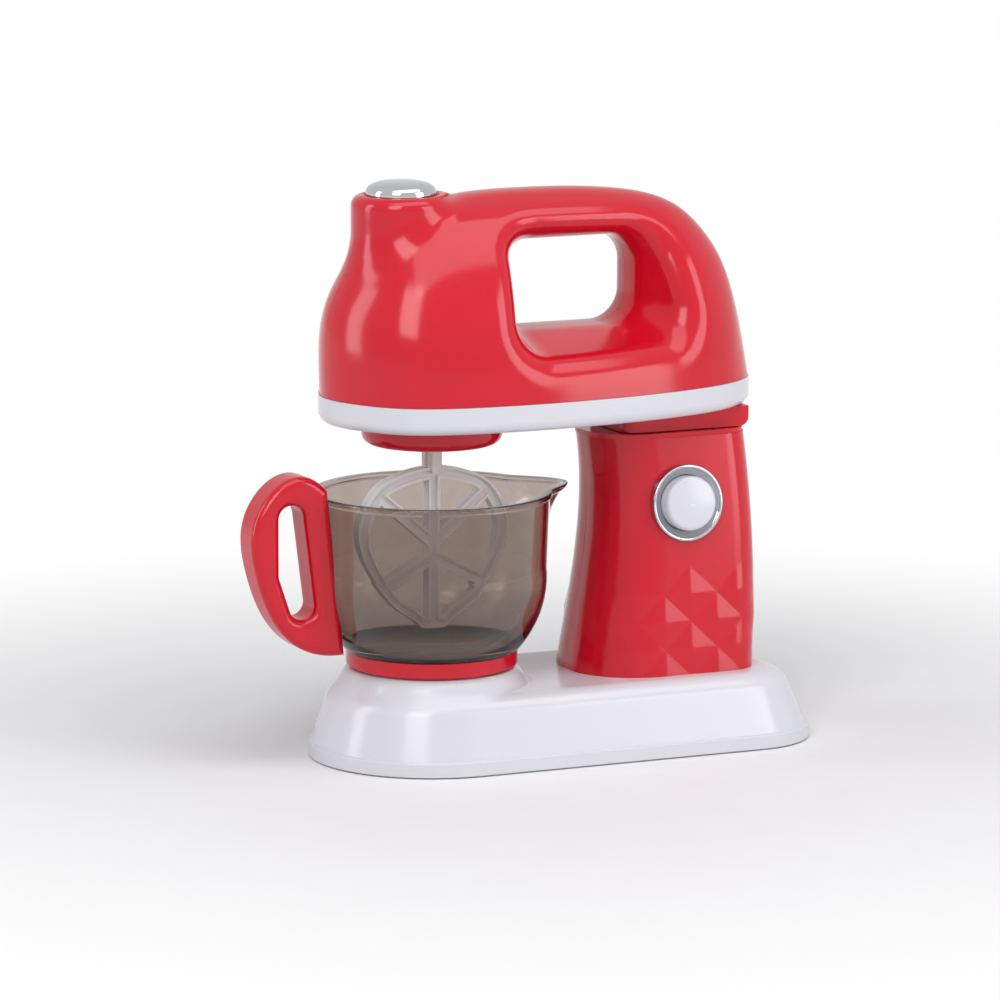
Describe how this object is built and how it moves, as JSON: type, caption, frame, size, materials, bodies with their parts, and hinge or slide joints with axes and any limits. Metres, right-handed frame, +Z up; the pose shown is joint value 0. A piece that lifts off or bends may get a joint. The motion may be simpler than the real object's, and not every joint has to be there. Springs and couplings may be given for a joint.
{
  "type": "toy mixer",
  "caption": "Toy stand mixer with a tilting head, a carry-handle opening, a geared flat beater, a lift-out clear bowl with a loop handle, and push buttons.",
  "frame": {"origin": "middle of the base's underside", "axes": "+X from the bowl end to the column, +Y across to the side away from the push button, +Z up"},
  "size_m": [0.2066, 0.086, 0.2022],
  "materials": {
    "red_gloss": "gloss",
    "white_gloss": "gloss",
    "chrome_trim": "mirror plating",
    "smoked_clear": "clear",
    "milky_plastic": "translucent",
    "gear_plastic": "satin",
    "steel": "plated",
    "contact_metal": "plated",
    "bush_brass": "satin",
    "cell_can": "plain sleeve",
    "motor_can": "satin",
    "circuit_board": "satin"
  },
  "bodies": {
    "stand": {"base_shell": "white_gloss", "base_plate": "white_gloss", "battery_door": "white_gloss", "battery_door_screw": "steel", "battery_cells": "cell_can", "battery_contacts": "contact_metal", "base_screws": "steel", "column_shell_left": "red_gloss", "column_shell_right": "red_gloss", "column_screws": "steel", "column_foot_screws": "steel", "column_cap": "red_gloss", "hinge_pin": "steel", "button_bezel": "chrome_trim", "power_button_spring": "steel", "power_switch": "circuit_board"},
    "head": {"head_shell_left": "red_gloss", "head_shell_right": "red_gloss", "head_screws": "steel", "head_tray": "white_gloss", "tray_screws": "steel", "head_neck": "red_gloss", "neck_screws": "steel", "beater_collar": "red_gloss", "collar_screws": "steel", "spindle_bush": "bush_brass", "gearbox_plate": "gear_plastic", "gearbox_screws": "steel", "motor": "motor_can", "idler_pin": "steel", "top_button_spring": "steel", "top_switch": "circuit_board"},
    "beater_drive": {"spindle": "gear_plastic", "output_gear": "gear_plastic", "beater": "milky_plastic"},
    "idler": {"reduction_gear": "gear_plastic"},
    "motor_drive": {"motor_shaft": "steel", "motor_pinion": "gear_plastic"},
    "top_button": {"top_button": "chrome_trim"},
    "power_button": {"power_button": "white_gloss"},
    "bowl": {"bowl": "smoked_clear", "bowl_foot": "red_gloss", "bowl_handle": "red_gloss"}
  },
  "joints": [
    {"name": "head_tilt", "type": "hinge", "parent": "stand", "child": "head", "pos_m": [0.064, 0, 0.1145], "axis": [0, 1, 0], "range_deg": [0, 50]},
    {"name": "beater_spin", "type": "hinge", "parent": "head", "child": "beater_drive", "pos_m": [-0.047, 0, 0.115], "axis": [0, 0, 1], "continuous": true},
    {"name": "idler_spin", "type": "hinge", "parent": "head", "child": "idler", "pos_m": [-0.06198, 0.012, 0.129], "axis": [0, 0, 1], "continuous": true},
    {"name": "motor_spin", "type": "hinge", "parent": "head", "child": "motor_drive", "pos_m": [-0.06198, -0.0072, 0.133], "axis": [0, 0, 1], "continuous": true},
    {"name": "top_button_press", "type": "slide", "parent": "head", "child": "top_button", "axis": [0, 0, -1], "range_m": [0, 0.0025], "stiffness_N_per_m": 300, "springref_m": -0.002, "deforming": ["top_button_spring"]},
    {"name": "power_button_press", "type": "slide", "parent": "stand", "child": "power_button", "axis": [0, 0.9966, -0.0821], "range_m": [0, 0.002], "stiffness_N_per_m": 300, "springref_m": -0.002, "deforming": ["power_button_spring"]},
    {"name": "bowl_lift", "type": "slide", "parent": "stand", "child": "bowl", "axis": [0, 0, 1], "range_m": [0, 0.004]}
  ],
  "couplings": [
    {"joint": "idler_spin", "follows": "beater_spin", "ratio": -3},
    {"joint": "motor_spin", "follows": "beater_spin", "ratio": 9}
  ]
}
